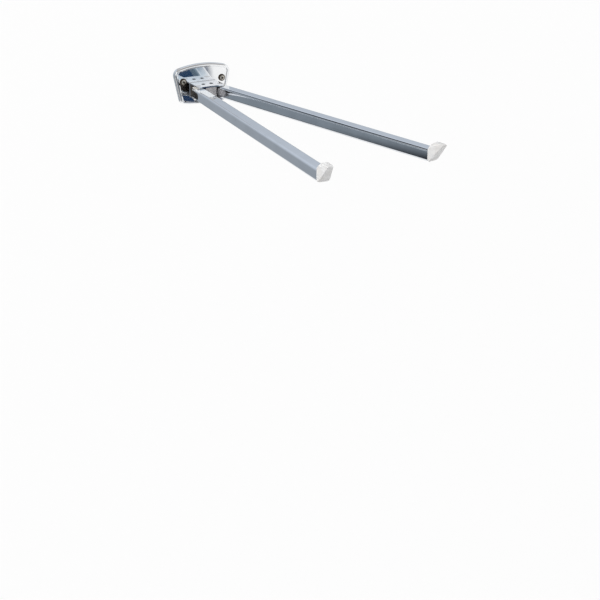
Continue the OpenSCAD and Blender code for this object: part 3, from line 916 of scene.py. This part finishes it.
def addCamera():
    s = cameraSizes
    data = bpy.data.cameras.new("photoCamera")
    data.lens, data.sensor_width = s["lens"], s["sensor"]
    data.clip_start, data.clip_end = s["near"], s["far"]
    camera = bpy.data.objects.new("photoCamera", data)
    bpy.context.scene.collection.objects.link(camera)
    camera.matrix_world = (Matrix.Translation((s["x"], s["y"], s["z"]))
                           @ Matrix.Rotation(math.radians(-s["yaw"]), 4, "Z")
                           @ Matrix.Rotation(math.radians(90 - s["down"]), 4, "X")
                           @ Matrix.Rotation(math.radians(-s["roll"]), 4, "Z"))
    bpy.context.scene.camera = camera


addCamera()


# Studio, in metres: a pale floor and wall, soft lamps, and boards that only the metal shows

studioSizes = {
    "floor": -1.2, "floorSize": 16, "wallWidth": 8, "wallTop": 3, "wallGap": 0.0004,
    "nearShare": 0.86, "farShare": 0.96, "farRange": (0.6, 2.2), "wallShare": 0.95, "sky": 0.5,
    "lampAim": (0, -0.2, 0),
}


# A plane of a width and a height, turned and placed
def addPlane(name, width, height, place, turn):
    clearSelection()
    bpy.ops.mesh.primitive_plane_add(size=1)
    piece = named(bpy.context.object, name)
    piece.scale = (width, height, 1)
    bpy.ops.object.transform_apply(location=False, rotation=False, scale=True)
    piece.location = place
    piece.rotation_euler = turn
    return piece


# 1 for rays from the camera and for what metal and glass show of the surroundings
def seenRays(nodes):
    camera, mirror, through = [nodes.put("ShaderNodeLightPath", give=kind) for kind in (
        "Is Camera Ray", "Is Glossy Ray", "Is Transmission Ray")]
    return (camera + mirror + through).atMost(1.0)


# Mixes a share of even white into what those rays see of a surface
def brighten(finish, share):
    lit = Wire(finish, finish.shader.outputs[0])
    return finish.blend(seenRays(finish) * share, lit, finish.glow())


def addFloor():
    s = studioSizes
    floor = addPlane("paleFloor", s["floorSize"], s["floorSize"], (0, 0, s["floor"]), (0, 0, 0))
    finish = Finish("paleFloor", Roughness=0.9)
    shade = finish.noise(400, 2, 0.5)
    distance = finish.put("ShaderNodeVectorMath", {"operation": "LENGTH"}, {0: finish.place},
                          give="Value")
    share = s["nearShare"] + (s["farShare"] - s["nearShare"]) * distance.step(*s["farRange"])
    finish.feed("Base Color", finish.colours(shade, (0.93, 0.93, 0.93), (0.91, 0.91, 0.915)))
    finish.show(brighten(finish, share))
    floor.data.materials.append(finish.material)


# The wall that the holder hangs on. It is seen from the room only, and metal does not show it
def addWall():
    s = studioSizes
    wall = addPlane("paleWall", s["wallWidth"], s["wallTop"] - s["floor"],
                    (0, s["wallGap"], (s["wallTop"] + s["floor"]) / 2), (math.radians(90), 0, 0))
    finish = Finish("paleWall", Roughness=0.9)
    shade = finish.noise(300, 2, 0.5)
    finish.feed("Base Color", finish.colours(shade, (0.93, 0.93, 0.93), (0.915, 0.915, 0.92)))
    behind = finish.put("ShaderNodeNewGeometry", give="Backfacing")
    finish.show(finish.blend(behind, brighten(finish, s["wallShare"]), finish.clear()))
    wall.data.materials.append(finish.material)
    wall.visible_glossy = False


def addSky():
    world = bpy.data.worlds.new("studioSky")
    bpy.context.scene.world = world
    world.use_nodes = True
    sky = Nodes(world.node_tree)
    back = sky.tree.nodes["Background"]
    back.inputs["Color"].default_value = (1, 1, 1, 1)
    strength = seenRays(sky) * (1 - studioSizes["sky"]) + studioSizes["sky"]
    sky.tree.links.new(strength.socket, back.inputs["Strength"])


def facing(place, aim):
    return (Vector(place) - Vector(aim)).to_track_quat("Z", "Y").to_euler()


def addLamp(name, place, size, watts):
    data = bpy.data.lights.new(name, "AREA")
    data.shape, data.size, data.size_y, data.energy = "RECTANGLE", size, size, watts
    lamp = bpy.data.objects.new(name, data)
    bpy.context.scene.collection.objects.link(lamp)
    lamp.location = place
    lamp.rotation_euler = facing(place, studioSizes["lampAim"])
    lamp.visible_glossy = False


# A board whose tone runs from its low edge to its top, and whose edges fade away. It faces the
# upright axis through the plate's middle, or that middle itself where it is tilted
def addBoard(name, place, size, lowTone, highTone, fade=0.15, run=(0.0, 1.0), tilted=False):
    aim = (0, 0, 0 if tilted else place[2])
    board = addPlane(name, *size, place, facing(aim, place))
    finish = Finish(name)
    across, up = finish.along("X") / size[0], finish.along("Y") / size[1]
    inside = 1.0
    for part in (across, up):
        inside = (0.5 - abs(part)).step(0.0, fade) * inside
    tone = finish.colours((up + 0.5).step(*run), lowTone, highTone)
    finish.show(finish.blend(inside, finish.clear(), finish.glow(tone)))
    board.data.materials.append(finish.material)
    for kind in ("camera", "diffuse", "transmission", "volume_scatter", "shadow"):
        setattr(board, "visible_" + kind, False)


addFloor()
addWall()
addSky()
addLamp("keyLamp", (-1.8, -0.8, 1.35), size=1.6, watts=27)
addLamp("fillLamp", (1.3, -1.4, 0.8), size=1.4, watts=5)
# Behind and above the holder: what the tops of the arms, of the bracket and of the rim show
addBoard("wallBoard", (0.2, 1.6, 0.5), (6.0, 3.2), (0.32, 0.35, 0.385), (0.72, 0.78, 0.87), fade=0.08)
addBoard("brightBoard", (0.55, 1.5, -0.75), (0.8, 0.5), (0.95, 0.95, 0.95), (0.95, 0.95, 0.95),
         fade=0.25)
addBoard("rimBoard", (0.20, 1.50, 0.74), (0.38, 0.38), (0.40, 0.38, 0.38), (0.36, 0.34, 0.34), fade=0.3)
addBoard("edgeBoard", (-0.5, 1.55, 1.78), (2.6, 1.2), (0.05, 0.055, 0.065), (0.05, 0.055, 0.065),
         fade=0.1)
addBoard("topBoard", (0.1, -0.4, 1.3), (3.0, 3.0), (0.30, 0.29, 0.285), (0.48, 0.465, 0.46),
         tilted=True)
# On the left: what the arms' near sides and the rim's left side show
addBoard("sideBoard", (-1.9, 0.6, 0.25), (2.6, 2.8), (0.21, 0.245, 0.28), (0.30, 0.335, 0.37),
         fade=0.1, run=(0.0, 0.5))
addBoard("rootBoard", (-1.62, 1.50, -0.45), (0.9, 0.9), (0.27, 0.29, 0.32), (0.36, 0.39, 0.42),
         fade=0.3)
addBoard("sillBoard", (-1.72, 0.78, -1.035), (1.5, 0.9), (0.012, 0.012, 0.015), (0.02, 0.022, 0.028),
         fade=0.13)
addBoard("leftBoard", (-1.5, -0.9, -0.3), (2.0, 1.1), (0.20, 0.20, 0.205), (0.50, 0.50, 0.51), fade=0.1)
addBoard("cornerBoard", (-1.25, -0.46, -0.70), (0.8, 0.9), (0.50, 0.49, 0.49), (0.50, 0.49, 0.49),
         fade=0.25, tilted=True)
addBoard("deepBoard", (-0.70, -1.16, -0.64), (1.3, 1.0), (0.12, 0.13, 0.145), (0.16, 0.17, 0.185),
         fade=0.16, tilted=True)
# In front: what the plate's panel, the low rim and the bracket's edge show
addBoard("darkBoard", (0.186, -0.50, -0.150), (0.085, 0.135), (0.012, 0.025, 0.070),
         (0.02, 0.05, 0.105), fade=0.2)
addBoard("lowBoard", (0.40, -0.87, -0.74), (0.7, 0.55), (0.03, 0.05, 0.10), (0.05, 0.08, 0.14),
         fade=0.25, tilted=True)
addBoard("frontBoard", (0.05, -1.40, -0.05), (0.7, 1.1), (0.08, 0.12, 0.165), (0.28, 0.36, 0.42))
addBoard("nearBoard", (0.217, -0.60, 0.124), (0.107, 0.107), (0.09, 0.15, 0.23), (0.62, 0.72, 0.80),
         fade=0.28, run=(0.36, 0.80))
view = bpy.context.scene.view_settings
view.view_transform = "Standard"
print("studio made")
